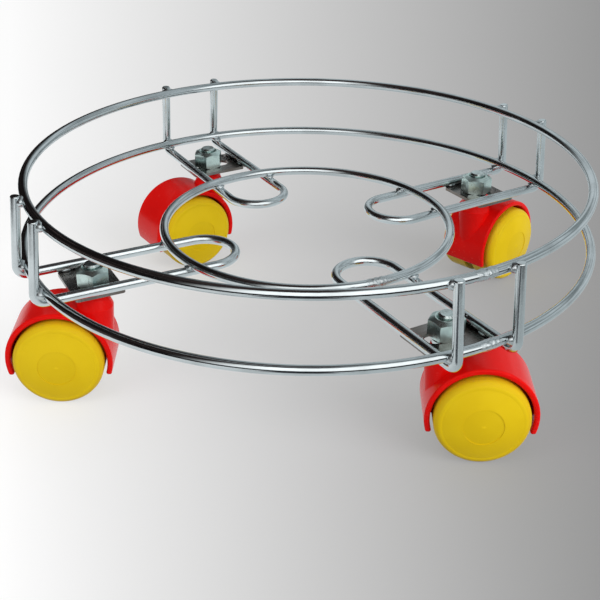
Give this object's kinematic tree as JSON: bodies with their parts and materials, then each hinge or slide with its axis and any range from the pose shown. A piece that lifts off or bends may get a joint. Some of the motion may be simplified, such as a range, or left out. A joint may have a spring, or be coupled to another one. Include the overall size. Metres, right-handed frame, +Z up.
{
  "type": "gas cylinder trolley",
  "caption": "Low round trolley of chrome wire hoops and hairpin arms on swivelling twin-wheel castors, on which a household gas cylinder stands and is rolled about.",
  "frame": {"origin": "on the floor, under the common centre of the hoops", "axes": "+Z up; +X to the trolley's right and -Y to its front, which the picture shows from 15 degrees to the right and 24 degrees above"},
  "size_m": [0.3354, 0.3354, 0.1149],
  "materials": {
    "wire": "bright chrome plate",
    "plate": "dull chrome plate",
    "nut": "bright zinc plate",
    "stem": "zinc plate",
    "hood": "glossy red moulding",
    "wheel": "satin yellow moulding"
  },
  "bodies": {
    "frame": {"bottom_ring": "wire", "top_ring": "wire", "inner_ring": "wire", "arm_front_right": "wire", "plate_front_right": "plate", "nut_front_right": "nut", "stem_front_right": "stem", "stem_clip_front_right": "stem", "arm_back_right": "wire", "plate_back_right": "plate", "nut_back_right": "nut", "stem_back_right": "stem", "stem_clip_back_right": "stem", "arm_back_left": "wire", "plate_back_left": "plate", "nut_back_left": "nut", "stem_back_left": "stem", "stem_clip_back_left": "stem", "arm_front_left": "wire", "plate_front_left": "plate", "nut_front_left": "nut", "stem_front_left": "stem", "stem_clip_front_left": "stem"},
    "castor_front_right": {"hood_front_right": "hood", "axle_front_right": "stem"},
    "wheel_left_front_right": {"wheel_left_front_right": "wheel"},
    "wheel_right_front_right": {"wheel_right_front_right": "wheel"},
    "castor_back_right": {"hood_back_right": "hood", "axle_back_right": "stem"},
    "wheel_left_back_right": {"wheel_left_back_right": "wheel"},
    "wheel_right_back_right": {"wheel_right_back_right": "wheel"},
    "castor_back_left": {"hood_back_left": "hood", "axle_back_left": "stem"},
    "wheel_left_back_left": {"wheel_left_back_left": "wheel"},
    "wheel_right_back_left": {"wheel_right_back_left": "wheel"},
    "castor_front_left": {"hood_front_left": "hood", "axle_front_left": "stem"},
    "wheel_left_front_left": {"wheel_left_front_left": "wheel"},
    "wheel_right_front_left": {"wheel_right_front_left": "wheel"}
  },
  "joints": [
    {"name": "swivel_front_right", "type": "hinge", "parent": "frame", "child": "castor_front_right", "pos_m": [0.09836, -0.09392, 0.0575], "axis": [0, 0, 1], "continuous": true},
    {"name": "roll_left_front_right", "type": "hinge", "parent": "castor_front_right", "child": "wheel_left_front_right", "pos_m": [0.11777, -0.08908, 0.025], "axis": [-0.2419, 0.9703, 0], "continuous": true},
    {"name": "roll_right_front_right", "type": "hinge", "parent": "castor_front_right", "child": "wheel_right_front_right", "pos_m": [0.11777, -0.08908, 0.025], "axis": [-0.2419, 0.9703, 0], "continuous": true},
    {"name": "swivel_back_right", "type": "hinge", "parent": "frame", "child": "castor_back_right", "pos_m": [0.08828, 0.10085, 0.0575], "axis": [0, 0, 1], "continuous": true},
    {"name": "roll_left_back_right", "type": "hinge", "parent": "castor_back_right", "child": "wheel_left_back_right", "pos_m": [0.09767, 0.11851, 0.025], "axis": [-0.8829, 0.4695, 0], "continuous": true},
    {"name": "roll_right_back_right", "type": "hinge", "parent": "castor_back_right", "child": "wheel_right_back_right", "pos_m": [0.09767, 0.11851, 0.025], "axis": [-0.8829, 0.4695, 0], "continuous": true},
    {"name": "swivel_back_left", "type": "hinge", "parent": "frame", "child": "castor_back_left", "pos_m": [-0.09676, 0.09274, 0.0575], "axis": [0, 0, 1], "continuous": true},
    {"name": "roll_left_back_left", "type": "hinge", "parent": "castor_back_left", "child": "wheel_left_back_left", "pos_m": [-0.10988, 0.07764, 0.025], "axis": [0.7547, -0.6561, 0], "continuous": true},
    {"name": "roll_right_back_left", "type": "hinge", "parent": "castor_back_left", "child": "wheel_right_back_left", "pos_m": [-0.10988, 0.07764, 0.025], "axis": [0.7547, -0.6561, 0], "continuous": true},
    {"name": "swivel_front_left", "type": "hinge", "parent": "frame", "child": "castor_front_left", "pos_m": [-0.09575, -0.09383, 0.0575], "axis": [0, 0, 1], "continuous": true},
    {"name": "roll_left_front_left", "type": "hinge", "parent": "castor_front_left", "child": "wheel_left_front_left", "pos_m": [-0.11488, -0.09967, 0.025], "axis": [0.2924, -0.9563, 0], "continuous": true},
    {"name": "roll_right_front_left", "type": "hinge", "parent": "castor_front_left", "child": "wheel_right_front_left", "pos_m": [-0.11488, -0.09967, 0.025], "axis": [0.2924, -0.9563, 0], "continuous": true}
  ]
}
